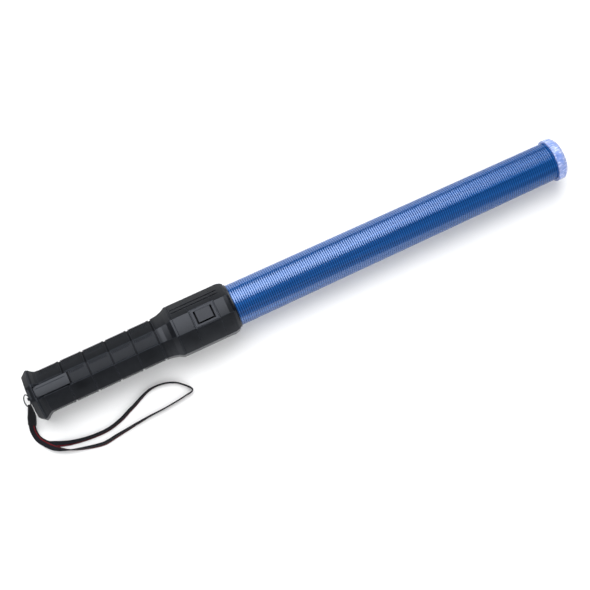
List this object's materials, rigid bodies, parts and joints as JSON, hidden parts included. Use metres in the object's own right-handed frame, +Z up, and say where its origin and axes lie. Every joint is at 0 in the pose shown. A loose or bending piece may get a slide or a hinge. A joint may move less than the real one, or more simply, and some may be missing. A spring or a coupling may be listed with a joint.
{
  "type": "traffic baton light",
  "caption": "Hand-held light baton: eight-sided black grip and switch housing, long tapered blue light tube, clear tip cap and wrist strap on a ring.",
  "frame": {"origin": "middle of the footprint of the rigid parts (tail ring to tip), on the surface it lies on", "axes": "+X along the baton towards the tip, +Z up through the switch button, strap on the -Y side"},
  "size_m": [0.5542, 0.088, 0.0487],
  "materials": {
    "black_shell": "satin moulded",
    "screw_steel": "plated",
    "collar_black": "satin",
    "grey_rubber": "matt",
    "blue_tube": "fine ribbed",
    "diffuser_milk": "milky",
    "white_plastic": "satin",
    "reflector_silver": "bright",
    "board_white": "printed board",
    "led_lens": "clear",
    "resistor_tan": "lacquered",
    "tip_clear": "clear",
    "prism_clear": "faceted",
    "sleeve_grey": "satin",
    "cell_wrap": "printed wrap",
    "inner_black": "satin",
    "contact_brass": "plated",
    "board_green": "printed board",
    "switch_black": "satin",
    "component_dark": "satin",
    "wire_red": "insulation",
    "wire_black": "insulation",
    "bezel_black": "satin",
    "button_rubber": "worn",
    "lock_black": "satin",
    "spring_steel": "drawn wire",
    "cap_black": "satin moulded",
    "ring_black": "blackened wire",
    "tab_black": "smooth",
    "strap_black": "woven, red edge thread"
  },
  "bodies": {
    "handle": {"grip_shell_upper": "black_shell", "grip_shell_lower": "black_shell", "shell_screws": "screw_steel", "tube_collar": "collar_black", "tube_seal": "grey_rubber", "light_tube": "blue_tube", "inner_diffuser": "diffuser_milk", "diffuser_ring": "white_plastic", "base_reflector": "reflector_silver", "led_board": "board_white", "leds": "led_lens", "board_resistors": "resistor_tan", "board_spacers": "white_plastic", "tip_cap": "tip_clear", "tip_prism": "prism_clear", "battery_sleeve": "sleeve_grey", "battery_cell_rear": "cell_wrap", "battery_cell_front": "cell_wrap", "front_bulkhead": "inner_black", "front_contact_plate": "contact_brass", "contact_strip": "contact_brass", "switch_board": "board_green", "tact_switch": "switch_black", "driver_components": "component_dark", "lead_wire_positive": "wire_red", "lead_wire_negative": "wire_black", "switch_bezel": "bezel_black", "switch_boot": "grey_rubber", "lock_spring": "spring_steel"},
    "button": {"button_cap": "button_rubber"},
    "lock": {"lock_bar": "lock_black"},
    "bayonet": {"bayonet_ring": "inner_black"},
    "tail": {"tail_cap": "cap_black", "tail_contact_plate": "contact_brass", "tail_spring": "spring_steel", "tail_seal": "grey_rubber"},
    "ring": {"strap_ring": "ring_black"},
    "strap": {"strap_tab": "tab_black", "strap_webbing": "strap_black"}
  },
  "joints": [
    {"name": "button_press", "type": "slide", "parent": "handle", "child": "button", "axis": [0, 0, -1], "range_m": [0, 0.0012], "stiffness_N_per_m": 900, "springref_m": -0.0008},
    {"name": "lock_slide", "type": "slide", "parent": "handle", "child": "lock", "axis": [1, 0, 0], "range_m": [0, 0.0015], "stiffness_N_per_m": 700, "springref_m": -0.001, "deforming": ["lock_spring"]},
    {"name": "tail_cap_turn", "type": "hinge", "parent": "handle", "child": "bayonet", "pos_m": [-0.25207, 0, 0.0237], "axis": [-1, 0, 0], "range_deg": [0, 90]},
    {"name": "tail_cap_pull", "type": "slide", "parent": "bayonet", "child": "tail", "axis": [-1, 0, 0], "range_m": [0, 0.015]},
    {"name": "strap_ring_swing", "type": "hinge", "parent": "tail", "child": "ring", "pos_m": [-0.26727, 0, 0.0222], "axis": [0, -1, 0], "range_deg": [0, 10]},
    {"name": "strap_swivel", "type": "hinge", "parent": "ring", "child": "strap", "pos_m": [-0.27032, -0.0056, 0.0175], "axis": [-0.5446, 0, -0.8387], "range_deg": [0, 25]}
  ]
}
